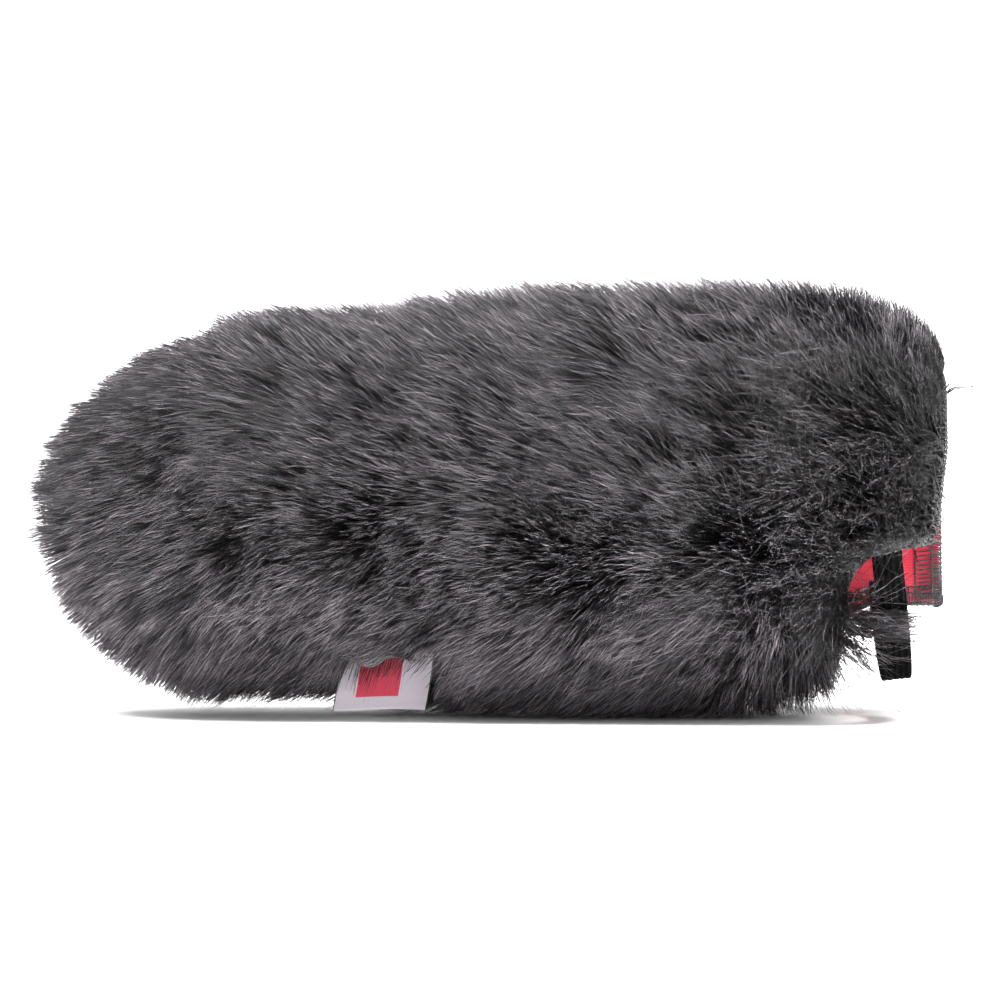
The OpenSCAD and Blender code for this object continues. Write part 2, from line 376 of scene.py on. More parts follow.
def pile_material():
    """Near black at the root and paler at the tip, partly the fibre's own colour and partly painted shade
    deep in the pile, with a shade of its own for each hair.
    """
    nodes = Nodes("pile_fibre", roughness=0.4, specular=0.22)
    shade, along = nodes.flat_position("OFBake")
    # The ramp's dark root and shaft are partly painted shade of the deep pile.
    ramp = nodes.add("ShaderNodeValToRGB")
    nodes.feed(ramp.inputs[0], along)
    root, tip = ramp.color_ramp.elements
    root.position = 0.1
    root.color = grey(0.003)
    tip.position = 1.0
    tip.color = grey(0.2, 1.06, 0.925, 1.04)
    middle = ramp.color_ramp.elements.new(0.7)
    middle.color = grey(0.008, 1.05, 0.94, 1.04)
    upper = ramp.color_ramp.elements.new(0.87)
    upper.color = grey(0.036, 1.05, 0.93, 1.04)
    # Each hair's shade holds its own tone, and also the painted shade and painted light of clump_shades.
    brightest, darkest = 3.15, 0.1
    lift = nodes.maths("MULTIPLY", nodes.maths("POWER", shade, 3.0), brightest)
    brightness = nodes.maths("ADD", lift, darkest)
    scale = nodes.add("ShaderNodeVectorMath", operation="SCALE")
    nodes.feed(scale.inputs[0], ramp.outputs[0])
    nodes.feed(scale.inputs["Scale"], brightness)
    nodes.colour(scale.outputs[0])
    return nodes.material


def backing_material():
    """The pile's knitted ground, seen only between hairs."""
    nodes = Nodes("pile_backing", roughness=0.9, specular=0.05)
    nodes.colour(grey(0.006))
    return nodes.material


def lining_material():
    """Fine red jersey: wales along the cover, courses across it."""
    nodes = Nodes("lining_jersey", roughness=0.72, sheen=0.5, sheen_roughness=0.45, specular=0.3)
    u, v = nodes.flat_position()
    wale_pitch, course_pitch, course_slant = 0.42 * MM, 0.5 * MM, 0.3 * MM
    wale = nodes.ripple(v, wale_pitch)
    course = nodes.ripple(nodes.maths("ADD", u, nodes.maths("MULTIPLY", wale, course_slant)), course_pitch)
    loops = nodes.maths("MULTIPLY", nodes.maths("POWER", wale, 0.7), nodes.maths(
        "ADD", nodes.maths("MULTIPLY", course, 0.6), 0.4))
    cloudy = nodes.texture("ShaderNodeTexNoise", Scale=260, Detail=3.0)
    shade = nodes.maths("ADD", nodes.maths("MULTIPLY", loops, 0.75), nodes.maths("MULTIPLY", cloudy, 0.3))
    nodes.colour(nodes.mix(shade, (0.46, 0.015, 0.038, 1), (0.88, 0.042, 0.092, 1)))
    nodes.bump(loops, 0.06 * MM)
    return nodes.material


def thread_material():
    """Textured nylon thread with its twist."""
    nodes = Nodes("overlock_thread", roughness=0.65, sheen=0.1, specular=0.3)
    u, v = nodes.flat_position()
    twist = nodes.ripple(nodes.maths("ADD", u, nodes.maths("MULTIPLY", v, 1.1)), 0.34 * MM)
    nodes.colour(nodes.mix(twist, grey(0.012, blue=1.08), grey(0.05, blue=1.08)))
    nodes.bump(twist, 0.05 * MM)
    return nodes.material


def elastic_material():
    """Black braided elastic. Its ribs are in the mesh and its fine cross threads here."""
    nodes = Nodes("braided_elastic", roughness=0.8, specular=0.01)
    u, v = nodes.flat_position()
    chevron = nodes.maths("PINGPONG", v, STRAP_WIDTH / 10)
    weft = nodes.ripple(nodes.maths("ADD", u, chevron), 0.45 * MM)
    ridge = nodes.ripple(nodes.maths("ADD", v, STRAP_WIDTH / 20), STRAP_WIDTH / 5)
    shine = nodes.maths("MULTIPLY", nodes.maths("POWER", ridge, 5.0), nodes.maths(
        "ADD", nodes.maths("MULTIPLY", weft, 0.5), 0.5))
    nodes.colour(nodes.mix(shine, grey(0.001), grey(0.005, blue=1.05)))
    nodes.bump(weft, 0.06 * MM)
    return nodes.material


def satin_material():
    """Silver woven satin with a plain red block, and painted shadow along its two side edges."""
    nodes = Nodes("label_satin", roughness=0.36, sheen=0.3, specular=0.6)
    u, v = nodes.flat_position()
    warp_pitch, weft_pitch = 0.24 * MM, 0.3 * MM
    weave = nodes.maths("MULTIPLY", nodes.ripple(u, warp_pitch), nodes.ripple(v, weft_pitch))
    cloth = nodes.mix(weave, (0.86, 0.77, 0.86, 1), (0.97, 0.89, 0.97, 1))
    red = nodes.mix(weave, (0.72, 0.06, 0.1, 1), (0.98, 0.12, 0.2, 1))

    def between(value, low, high):
        above = nodes.maths("GREATER_THAN", value, low)
        below = nodes.maths("LESS_THAN", value, high)
        return nodes.maths("MULTIPLY", above, below)

    mark = nodes.maths("MULTIPLY", between(u, 4.6 * MM, 14.2 * MM), between(v, 6.5 * MM, 16.6 * MM))
    # The thin dark lines along both side edges are painted shadow.
    edge_shadow_width = 0.22 * MM
    edge_shadow = nodes.maths("SUBTRACT", 1.0, between(u, edge_shadow_width, LABEL_WIDTH - edge_shadow_width))
    nodes.colour(nodes.mix(edge_shadow, nodes.mix(mark, cloth, red), grey(0.03)))
    nodes.bump(weave, 0.03 * MM)
    return nodes.material


def foam_material():
    """Open-cell foam: a matt charcoal skin, darker away from each cell's middle as painted shade in its
    pores.
    """
    nodes = Nodes("foam_cells", roughness=0.95, specular=0.2)
    pores_in_a_metre = 1400.0
    from_pore = nodes.texture("ShaderNodeTexVoronoi", Scale=pores_in_a_metre)
    # The darkening by the pore pattern is painted shade in the cells.
    nodes.colour(nodes.mix(from_pore, grey(0.045), grey(0.01)))
    nodes.bump(from_pore, 0.35 * MM)
    return nodes.material


# ---- cloth panels


PANEL_ROWS = 97
SEAM_HALF_GAP = 0.1 * MM        # each panel stops this far short of the seam
SMALLEST_RADIUS = 0.5 * MM


def panel_grid(side, offset):
    """Points of one panel from the top seam to its lower edge, and their place on the flat cloth."""
    x, radius = add_columns_at_slit(*sock_outline(offset))
    t = np.linspace(0, 1, PANEL_ROWS)
    gap = SEAM_HALF_GAP / np.maximum(radius, SMALLEST_RADIUS)
    edge = np.maximum(slit_angle(side, x), gap)
    angle = side * ((pi - gap)[:, None] * (1 - t) + edge[:, None] * t)
    return wrap(x[:, None], radius[:, None], angle), pair(x[:, None], angle * radius[:, None])


def add_columns_at_slit(x, radius):
    """More columns where the slit's edge turns steeply: at its front end and at the rim's corner."""
    front = np.linspace(SLIT_X, SLIT_X + 8 * MM, 40)
    corner = np.linspace(FABRIC_END_X - 3.5 * MM, FABRIC_END_X, 20)
    x_all = np.unique(np.concatenate([x, front, corner]))
    return x_all, np.interp(x_all, x, radius)


def cloth_panel(name, side, faces, material, node):
    """A panel of cloth between two distances outside the lining's inner face."""
    inner, flat = panel_grid(side, faces[0])
    outer, _ = panel_grid(side, faces[1])
    obj = shell(name + SIDE_NAMES[side], inner, outer, flat)
    return finish_piece(obj, material, "cover", node + SIDE_NAMES[side])


# ---- pile

HAIR_POINTS = 6                 # points along a hair, its tip included
HAIR_SIDES = 3
HAIR_RADIUS = 0.1 * MM
ALONG = np.linspace(0, 1, HAIR_POINTS)[None, :, None]
TUFTS = 330
CLUMPS = 15500
HAIRS_IN_CLUMP = 8
CLUMP_SPREAD = 0.85 * MM
CLUMP_DISORDER = 1.4
SHORTEST_HAIR = 4 * MM
LONGEST_HAIR = 32 * MM
WIDEST_HAIR = 60 * MM           # hairs that reach further to a side than this are cut away
ROOT_LEAN, TIP_LEAN = 0.42, 0.84                    # radians from the normal
FLAT_ROOT_LEAN, FLAT_TIP_LEAN = 0.9, 1.45           # the same for hairs that are combed flat
LOOSE_HAIRS = 0.08              # share of hairs that don't keep to their clump
STRAY_HAIRS = 0.2               # share of hairs that may cross the label and the slit
BANDS = 10                      # pieces along each panel, so that no mesh is too heavy
GOLDEN_STEPS = (0.7548776662466927, 0.5698402909980532)     # 1/p and 1/p^2 of the plastic number p


class PileGround:
    """The backing's outer face, with places on it by arc length and angle."""

    def __init__(self):
        self.x, self.radius = sock_outline(FABRIC_OFFSET, step=0.5 * MM)
        step = np.hypot(np.diff(self.x), np.diff(self.radius))
        self.arc = np.concatenate([[0], np.cumsum(step)])
        ring = (self.radius[1:] + self.radius[:-1]) / 2 * step
        self.area = np.concatenate([[0], np.cumsum(ring)])
        self.slope_x = np.gradient(self.x, self.arc)
        self.slope_r = np.gradient(self.radius, self.arc)

    def spread(self, count, seed):
        """Even, patternless places over the whole ground."""
        dice = np.random.default_rng(seed)
        index = np.arange(count) + dice.uniform(0, 1000)
        jitter = 0.2 / sqrt(count)
        first, second = ((index * step + dice.normal(0, jitter, count)) % 1 for step in GOLDEN_STEPS)
        arc = np.interp(first * self.area[-1], self.area, self.arc)
        return arc, (second * 2 - 1) * pi

    def place(self, arc, angle):
        """Point, outward normal and sideways direction."""
        arc = np.clip(arc, 0, self.arc[-1])
        x = np.interp(arc, self.arc, self.x)
        radius = np.interp(arc, self.arc, self.radius)
        normal_x = -np.interp(arc, self.arc, self.slope_r)
        normal_r = np.interp(arc, self.arc, self.slope_x)
        normal = np.stack([normal_x, normal_r * np.sin(angle), -normal_r * np.cos(angle)], axis=-1)
        sideways = np.stack([np.zeros_like(angle), np.cos(angle), np.sin(angle)], axis=-1)
        return wrap(x, radius, angle), unit(normal), sideways


def regions(x, angle):
    """Weights from 0 to 1 for the places where the pile lies differently."""
    from_bottom = np.abs(angle)
    rear = fade_in(x, 30 * MM, 60 * MM)
    flank = np.exp(-((from_bottom - 1.4) / 0.5) ** 2)
    near_side = fade_out(angle, -0.5, 0.5) * fade_in(angle, -2.6, 0.5)
    return SimpleNamespace(
        rear=rear,
        flank=flank,
        nose=fade_out(x, -60 * MM, 22 * MM),
        rim=fade_in(x, 92 * MM, 8 * MM),
        # The flanks stand more upright behind the nose.
        upright=flank * fade_in(x, -60 * MM, 50 * MM),
        # The low rear is ruffled most.
        wild=rear * fade_out(from_bottom, 1.9, 0.6),
        # Round the mouth the hairs fan out, least on the near side.
        fan=fade_in(x, SLIT_X, 22 * MM) * (1 - 0.8 * near_side),
        # Below, ahead of the slit, the hairs are shorter and turned back.
        slit_front=fade_in(x, 60 * MM, 19 * MM) * fade_out(from_bottom, 1.05, 0.45),
        # Along the far panel's slit edge the hairs are combed flat.
        far_edge=fade_in(x, SLIT_X, 6 * MM) * fade_out(angle, 1.35, 0.35) * (angle > 0),
        # A lock beside the slit's near side is swept back over the elastic.
        lock=fade_in(x, 66 * MM, 7 * MM) * fade_out(angle, -0.3, 0.12) * fade_in(angle, -1.0, 0.1),
        # Past the far side of the rim the hairs are longest.
        far_rim=fade_in(x, 97 * MM, 5 * MM) * fade_in(angle, 0.5, 0.4) * fade_out(angle, 2.5, 0.5))


def hair_habit(points, angle, dice, disorder):
    """How the pile lies at each root: leans at root and tip, swirl, and share of the full length."""
    x = points[:, 0]
    count = len(x)
    at = regions(x, angle)
    broad = BROAD_FIELD(points)
    local = LOCAL_FIELD(points)

    lean_root = (ROOT_LEAN - 0.06 * at.rear - 0.1 * at.upright) * (1 - 1.3 * at.fan)
    lean_tip = TIP_LEAN - 0.06 * at.rear - 0.2 * at.upright - 1.0 * at.slit_front
    lean_tip = lean_tip + 0.13 * broad + (0.07 + 0.12 * at.rear) * local
    lean_tip *= 1 - 1.6 * at.fan
    lean_root += disorder * dice.normal(0, 0.12 + 0.25 * at.rim, count)
    lean_tip += disorder * dice.normal(0, 0.2 + 0.24 * at.rear + 0.2 * at.rim, count)
    combed_flat = np.maximum(at.far_edge, at.lock)
    lean_root += (FLAT_ROOT_LEAN - lean_root) * combed_flat
    lean_tip += (FLAT_TIP_LEAN - lean_tip) * combed_flat

    swirl = (0.14 + 0.4 * at.rear) * SWIRL_FIELD(points) + (0.1 + 0.4 * at.rear) * LOCAL_SWIRL_FIELD(points)
    upward = 0.16 + 0.6 * fade_in(x, -40 * MM, 100 * MM) + 0.4 * at.nose
    swirl += upward * at.flank * np.sign(angle)
    swirl += disorder * dice.normal(0, 0.24 + 0.22 * at.rear + 0.25 * at.wild + 0.3 * at.rim, count)
    swirl += (pi / 2 - swirl) * at.far_edge
    swirl += (pi + 0.6 - swirl) * at.lock

    share = 1.07 - 0.06 * at.nose + 0.11 * at.rear + 0.04 * local
    share = share - 0.45 * at.slit_front * (1 - at.lock) - 0.3 * at.far_edge
    share *= 1 + 0.9 * at.far_rim
    cut_short = (0.16 + 0.4 * at.lock) * dice.uniform(0, 1, count) ** 2
    share *= 1 - cut_short + disorder * dice.normal(0, 0.05, count)
    return lean_root, lean_tip, swirl, share


def grow(points, normal, sideways, habit):
    """Curves of hairs that stand up and bend over, as long as the pile's outline lets them be."""
    lean_root, lean_tip, swirl, share = habit
    forward = np.array([-1.0, 0, 0])
    comb = np.cos(swirl)[:, None] * forward + np.sin(swirl)[:, None] * sideways
    segments = HAIR_POINTS - 1
    steps = []
    for step in range(segments):
        bend = (step + 0.5) / segments
        lean = (lean_root + (lean_tip - lean_root) * bend)[:, None]
        steps.append(unit(np.cos(lean) * normal + np.sin(lean) * comb) / segments)
    climb = np.cumsum(np.stack(steps, axis=1), axis=1)
    shape = np.concatenate([np.zeros_like(points)[:, None], climb], axis=1)
    shortest = np.full(len(points), SHORTEST_HAIR)
    longest = np.full(len(points), LONGEST_HAIR)
    for _ in range(12):
        length = (shortest + longest) / 2
        tip = points + shape[:, -1] * length[:, None]
        inside = np.hypot(tip[:, 1], tip[:, 2] - AXIS_HEIGHT) < pile_radius(tip[:, 0])
        shortest = np.where(inside, length, shortest)
        longest = np.where(inside, longest, length)
    return points[:, None] + shape * (length * share)[:, None, None]


def nearest(points, centres):
    """Index of the closest centre for each point, worked out in batches to spare memory."""
    best = np.zeros(len(points), int)
    batch = 2000
    for start in range(0, len(points), batch):
        part = points[start:start + batch]
        distance = ((part[:, None] - centres[None]) ** 2).sum(axis=-1)
        best[start:start + batch] = distance.argmin(axis=1)
    return best


def off_the_cloth(points, angle):
    """True where there is no cloth to grow from, which is in the slit."""
    edge = np.where(angle < 0, slit_angle(NEAR, points[:, 0]), slit_angle(FAR, points[:, 0]))
    margin = 0.03 * (points[:, 0] > SLIT_X)
    return np.abs(angle) < edge + margin


def cushioned(height, floor, thickness):
    """Heights squeezed into a cushion of a thickness on a floor, for those below the cushion's top."""
    return floor + thickness * np.exp(np.minimum(height - floor - thickness, 0) / thickness)


def press_on_floor(curves):
    """Hairs under the cover lie flat on the surface it rests on."""
    height = curves[..., 2]
    thickness = 2.2 * MM
    curves[..., 2] = np.where(height < thickness, cushioned(height, 0, thickness), height)


def make_way_for_label(curves):
    """Parts the pile round the label. Returns which hairs would still hide it or cut through it."""
    x, y, z = curves[..., 0], curves[..., 1], curves[..., 2]
    root_x, root_y = x[:, :1], y[:, :1]
    half = LABEL_WIDTH / 2
    margin = 1 * MM
    clearance = 0.9 * MM
    cushion = 3 * MM
    beside = fade_out(np.abs(x - LABEL_X), half + 1.6 * MM, 2 * MM)
    ragged = LABEL_SHOWS + 1.4 * MM * np.sin(x / (1.7 * MM)) + 0.9 * MM * np.sin(x / (0.63 * MM) + y / MM)
    label_y = -np.maximum(LABEL_HINGE_HEIGHT - z, 0) * tan(LABEL_LEAN)

    # Hairs in front of the label end above the part of it that shows.
    rooted_here = np.abs(root_x - LABEL_X) < half + margin
    in_front = (root_y < -3 * MM) & rooted_here
    top = ragged * beside
    raised = in_front & (z < top + cushion) & (y < label_y + margin)
    curves[..., 2] = np.where(raised, z + (cushioned(z, top, cushion) - z) * beside, z)

    # Hairs behind it stay behind it.
    behind = ~in_front & rooted_here & (np.abs(x - LABEL_X) < half + margin)
    inside = behind & (y < label_y + clearance) & (z < LABEL_HINGE_HEIGHT)
    curves[..., 1] = np.where(inside, label_y + clearance + 0.1 * (y - label_y), y)

    hides = (np.abs(x - LABEL_X) < half + 0.3 * MM) & (curves[..., 2] < ragged) & (curves[..., 1] < label_y)
    return hides.any(axis=1)


def over_mouth_gap(curves):
    """Hairs of the near panel that would hang across the open slit."""
    edge = np.array(SLIT_EDGES[NEAR]) * MM
    x, height = curves[..., 0], curves[..., 2] - AXIS_HEIGHT
    below_near = height < np.interp(x, edge[:, 0], edge[:, 1]) - 0.4 * MM
    above_far = height > -22.5 * MM
    behind_slit_end = x > SLIT_X + 2.5 * MM
    return (behind_slit_end & below_near & above_far & (curves[..., 1] < 0)).any(axis=1)


def through_strap(curves):
    """Hairs that would pass through the elastic."""
    path, _, _ = strap_line()
    path = path[::3]
    close = np.zeros(len(curves), bool)
    around = (curves[..., 0] > STRAP_X - 9 * MM).any(axis=1) & (curves[..., 2] < AXIS_HEIGHT).any(axis=1)
    picked = np.flatnonzero(around)
    fine = np.concatenate([curves[picked][:, :-1] * (1 - s) + curves[picked][:, 1:] * s
                           for s in (0, 0.33, 0.67)], axis=1)
    batch = 500
    for start in range(0, len(picked), batch):
        part = fine[start:start + batch]
        gap = part[:, :, None, 1:] - path[None, None, :, 1:]
        touching = np.sqrt((gap ** 2).sum(axis=-1)) < 1.3 * MM
        beside = np.abs(part[:, :, None, 0] - path[None, None, :, 0]) < STRAP_WIDTH / 2 + 0.6 * MM
        close[picked[start:start + batch]] = (touching & beside).any(axis=(1, 2))
    return close


def grow_clumps(ground, root, normal, side, angle, rear, dice):
    """The curve that each clump keeps to: one of its own, drawn a little to that of its tuft."""
    tuft_arc, tuft_angle = ground.spread(TUFTS, seed=3)
    tuft_root, tuft_normal, tuft_side = ground.place(tuft_arc, tuft_angle)
    tufts = grow(tuft_root, tuft_normal, tuft_side, hair_habit(tuft_root, tuft_angle, dice, 1.0))
    clumps = grow(root, normal, side, hair_habit(root, angle, dice, CLUMP_DISORDER))
    hold = 0.16 + 0.22 * rear
    tuft = tufts[nearest(root, tuft_root)]
    return clumps + (tuft - clumps) * hold[:, None, None] * smooth(ALONG)


def clump_shades(root, angle, rear, low, dice):
    """How pale each clump is, from 0 to 1, with painted shade on the flanks and painted light low down. The
    rim and the slit's upper edge are darker.
    """
    from_bottom = np.abs(angle)
    rim = fade_in(root[:, 0], 92 * MM, 8 * MM)
    flank = fade_in(from_bottom, 0.9, 0.4) * fade_out(from_bottom, 2.6, 0.5)
    above_slit = (angle < 0) * fade_out(-angle, slit_angle(NEAR, root[:, 0]) + 0.25, 0.15)
    # Painted shade darkens the flanks, and painted light from the floor below pales the low parts, most at
    # the rear.
    shade = 0.44 - (0.16 + 0.05 * rear) * flank + 0.05 * low + 0.1 * (rear * low) - 0.1 * rim
    shade -= 0.15 * above_slit
    return shade + (0.12 * SHADE_FIELD(root) + dice.normal(0, 0.12, CLUMPS))


def curl_and_sag(hairs, normal, side, curl, dice):
    """Bends every hair a little out of its line, and lets it droop towards its tip."""
    count = len(hairs)
    phase = dice.uniform(0, 2 * pi, (2, count, 1, 1))
    turns = dice.uniform(0.4, 1.1, (count, 1, 1)) * 2 * pi
    hairs += curl * np.sin(turns * ALONG + phase[0]) * side[:, None]
    hairs += curl * np.sin(turns * ALONG + phase[1]) * normal[:, None]
    x = hairs[:, 0, 0]
    sag = 0.8 + 3.8 * fade_out(x, -36 * MM, 24 * MM) - 2.4 * fade_out(x, -80 * MM, 5 * MM)
    hairs[..., 2] -= sag[:, None] * MM * ALONG[..., 0] ** 2


def comb_pile():
    """Curves, thickness and shade of every hair, with the angle of its root."""
    dice = np.random.default_rng(42)
    ground = PileGround()
    clump_arc, clump_angle = ground.spread(CLUMPS, seed=11)
    clump_root, clump_normal, clump_side = ground.place(clump_arc, clump_angle)
    rear = fade_in(clump_root[:, 0], 20 * MM, 60 * MM)
    low = fade_out(np.abs(clump_angle), 1.4, 0.4)
    clumps = grow_clumps(ground, clump_root, clump_normal, clump_side, clump_angle, rear, dice)
    clump_shade = clump_shades(clump_root, clump_angle, rear, low, dice)
    clump_hold = dice.uniform(0.05, 0.6, CLUMPS) + 0.3 * rear
    clump_curl = 0.3 + 0.6 * rear + 0.7 * (rear * low)

    member = np.repeat(np.arange(CLUMPS), HAIRS_IN_CLUMP)
    count = len(member)
    spread = CLUMP_SPREAD * np.sqrt(dice.uniform(0, 1, count))
    around = dice.uniform(0, 2 * pi, count)
    from_axis = length_of(clump_root[member][:, 1:] - np.array([0, AXIS_HEIGHT]))[:, 0]
    arc = clump_arc[member] + spread * np.cos(around)
    angle = clump_angle[member] + spread * np.sin(around) / np.maximum(from_axis, 3 * MM)
    angle = (angle + pi) % (2 * pi) - pi
    root, normal, side = ground.place(arc, angle)
    hairs = grow(root, normal, side, hair_habit(root, angle, dice, 1.0))
    loose = dice.uniform(0, 1, count) < LOOSE_HAIRS
    hold = np.where(loose, 0.05, clump_hold[member])[:, None, None]
    hairs += (clumps[member] - hairs) * hold * smooth(ALONG * 1.15)

    curl = clump_curl[member][:, None, None] * MM * ALONG * (1 + loose[:, None, None])
    curl_and_sag(hairs, normal, side, curl, dice)
    hides_label = make_way_for_label(hairs)
    press_on_floor(hairs)

    stray = dice.uniform(0, 1, count) < STRAY_HAIRS
    above_mark = hairs[:, -1, 2] > 7.5 * MM
    over_label = hides_label & ~(stray & above_mark)
    over_gap = over_mouth_gap(hairs) & ~stray
    too_wide = (np.abs(hairs[..., 1]) > WIDEST_HAIR).any(axis=1)
    kept = ~(off_the_cloth(root, angle) | over_label | over_gap | too_wide | through_strap(hairs))
    shade = np.clip(clump_shade[member] + dice.normal(0, 0.26, count), 0.04, 0.96)
    thickness = HAIR_RADIUS * dice.uniform(0.75, 1.2, count) * np.where(loose, 0.75, 1)
    return hairs[kept], thickness[kept], shade[kept], angle[kept]


def hair_faces():
    """Corners of one hair's faces and each face's corner count: a tube, its tip and its closed root."""
    side = np.arange(HAIR_SIDES)
    following = (side + 1) % HAIR_SIDES
    rings = HAIR_POINTS - 1
    quad = np.stack([side, following, following + HAIR_SIDES, side + HAIR_SIDES], axis=-1)
    tube = quad + HAIR_SIDES * np.arange(rings - 1)[:, None, None]
    tip = np.stack([side, following, np.full(HAIR_SIDES, HAIR_SIDES)], axis=-1) + (rings - 1) * HAIR_SIDES
    totals = [4] * (tube.size // 4) + [3] * (HAIR_SIDES + 1)
    return np.concatenate([tube.ravel(), tip.ravel(), side[::-1]]), totals


def hair_mesh(name, curves, thickness, shade):
    """Closed tapered tubes, one for each hair. Their UV layer holds a hair's shade and the way along it."""
    count = len(curves)
    tangent = np.empty_like(curves)
    tangent[:, 1:-1] = curves[:, 2:] - curves[:, :-2]
    tangent[:, 0] = curves[:, 1] - curves[:, 0]
    tangent[:, -1] = curves[:, -1] - curves[:, -2]
    tangent = unit(tangent)
    side = unit(np.cross(tangent, HAIR_REFERENCE))
    other = np.cross(tangent, side)
    turn = np.arange(HAIR_SIDES) * 2 * pi / HAIR_SIDES
    rings = HAIR_POINTS - 1
    tip = rings * HAIR_SIDES
    share = np.linspace(0, 1, HAIR_POINTS)[:rings]
    taper = (1 - 0.75 * share ** 4)[None, :, None, None]
    offset = (np.cos(turn)[None, None, :, None] * side[:, :rings, None]
              + np.sin(turn)[None, None, :, None] * other[:, :rings, None])
    body = curves[:, :rings, None] + offset * taper * thickness[:, None, None, None]
    vertices = np.concatenate([body.reshape(count, -1, 3), curves[:, -1:]], axis=1)

    corners, totals = hair_faces()
    strand_uv = np.zeros((tip + 1, 2))
    strand_uv[:tip, 0] = np.tile((np.arange(HAIR_SIDES) - 1) * 0.015, rings)
    strand_uv[:tip, 1] = np.repeat(np.linspace(0.01, 0.99, HAIR_POINTS)[:rings], HAIR_SIDES)
    strand_uv[tip, 1] = 0.99
    uv = np.repeat(strand_uv[corners][None], count, axis=0)
    uv[..., 0] += shade[:, None]
    loops = (corners[None] + np.arange(count)[:, None] * (tip + 1)).ravel()
    totals = np.tile(totals, count)
    return new_object(name, vertices.reshape(-1, 3), loops, totals, uv.reshape(-1, 2), "OFBake")


def pile():
    """The whole pile, in pieces of even weight from the nose to the rim. Returns them by side."""
    curves, thickness, shade, angle = comb_pile()
    made = {}
    for side in (NEAR, FAR):
        mine = np.flatnonzero((angle < 0) == (side == NEAR))
        mine = mine[np.argsort(curves[mine, 0, 0])]
        made[side] = []
        for number, part in enumerate(np.array_split(mine, BANDS)):
            name = "pile_%s_%02d" % (SIDE_NAMES[side], number + 1)
            obj = hair_mesh(name, curves[part], thickness[part], shade[part])
            made[side].append(finish_piece(obj, PILE, "cover", "fur_" + SIDE_NAMES[side]))
    return made


# ---- stitches

STITCH_PITCH = 1.25             # millimetres, as all of overlock()
RIM_STITCH_REACH = 5.5
SLIT_STITCH_REACH = 4.2
THREAD_RADIUS = 0.19 * MM
TACK_THREAD_RADIUS = 0.14 * MM


def resample(line, step):
    """Evenly spaced points along a line of corners."""
    line = np.asarray(line, float)
    along = distance_along(line)
    count = max(int(round(along[-1] / step)), 2)
    even = np.linspace(0, along[-1], count + 1)
    return np.stack([np.interp(even, along, line[:, k]) for k in range(line.shape[1])], axis=-1)


def smooth_path(points, rounds):
    """Rounds a line's corners by cutting them."""
    points = np.asarray(points, float)
    for _ in range(rounds):
        near = points[:-1] * 0.75 + points[1:] * 0.25
        far = points[:-1] * 0.25 + points[1:] * 0.75
        cut = np.stack([near, far], axis=1).reshape(-1, points.shape[1])
        points = np.concatenate([points[:1], cut[1:-1], points[-1:]])
    return points


def on_cloth(flat, depth):
    """Puts points of the flat cloth round the mouth. Depth is outwards from the lining's inner face."""
    return wrap(flat[..., 0], lining_radius(flat[..., 0]) + depth, flat[..., 1] / FLAT_RADIUS)


def rim_edge():
    """The mouth's rim on the flat cloth, from the near slit edge over the top to the far one."""
    start = -slit_angle(NEAR, FABRIC_END_X)
    end = slit_angle(FAR, FABRIC_END_X) - 2 * pi
    return pair(FABRIC_END_X, np.linspace(start, end, 200) * FLAT_RADIUS)


def slit_edge(side):
    """A panel's edge along the slit, from the bar tack to the rim."""
    x = np.linspace(SLIT_X, FABRIC_END_X, 240)
    return pair(x, side * slit_angle(side, x) * FLAT_RADIUS)


def overlock(name, edge, into_sign, reach, dice):
    """Overlock stitches along an edge: slanted rungs, a needle chain, a middle chain and edge knots.

    A stitch's points are millimetres along the edge, into the cloth and outwards from its inner face.
    """
    soup = Soup()
    places = resample(edge, STITCH_PITCH * MM)
    tangent = unit(np.gradient(places, axis=0))
    into = np.stack([-tangent[:, 1], tangent[:, 0]], axis=-1) * into_sign
    pitch = STITCH_PITCH
    slant = pitch * 0.45
    cloth = FABRIC_OFFSET / MM
    inside = -THREAD_RADIUS / MM
    outside = cloth - inside

    def sew(index, points, weight=1.0):
        """One thread of the stitch that starts at a place on the edge."""
        points = np.array(points, float) * MM
        flat = places[index] + points[:, :1] * tangent[index] + points[:, 1:2] * into[index]
        add_tube(soup, smooth_path(on_cloth(flat, points[:, 2]), 2), THREAD_RADIUS * weight)

    last = len(places) - 1
    for i in range(last + 1):
        wobble = dice.normal(0, 0.05, 4)
        far = reach + wobble[0]
        sew(i, [(slant, far, inside), (slant * 0.7 + wobble[1], far * 0.66, inside * 1.4),
                (slant * 0.3 + wobble[2], far * 0.33, inside * 1.5), (wobble[3], 0.35, inside * 1.5),
                (0, -0.25, 0.3), (0, -0.42, cloth / 2), (0, -0.2, cloth - 0.1),
                (-slant * 0.4, 0.5, outside), (-slant, 2.2, outside)])
        sew(i, [(0, 2.0, outside), (slant * 0.6, 0.7, outside), (slant, -0.3, cloth * 0.6),
                (slant * 1.1, -0.3, 0.25), (slant * 1.2, 0.5, inside * 1.6),
                (slant * 1.5, 1.7, inside * 1.6)], weight=0.9)
    for row, lift in ((reach, 1.0), (1.8, 1.6)):
        for i in range(last):
            sew(i, [(-0.12, row - 0.14, inside * 0.6), (pitch * 0.3, row - 0.2, inside * lift * 1.6),
                    (pitch * 0.8, row + 0.05, inside * lift * 2), (pitch * 1.15, row + 0.16, inside * 0.6)],
                weight=1.05)
    for i in range(last):
        sew(i, [(0, -0.3, 0.1), (pitch * 0.35, -0.55, cloth * 0.35),
                (pitch * 0.7, -0.3, cloth * 0.7), (pitch * 1.05, -0.25, 0.2)])
    return soup.build(name)


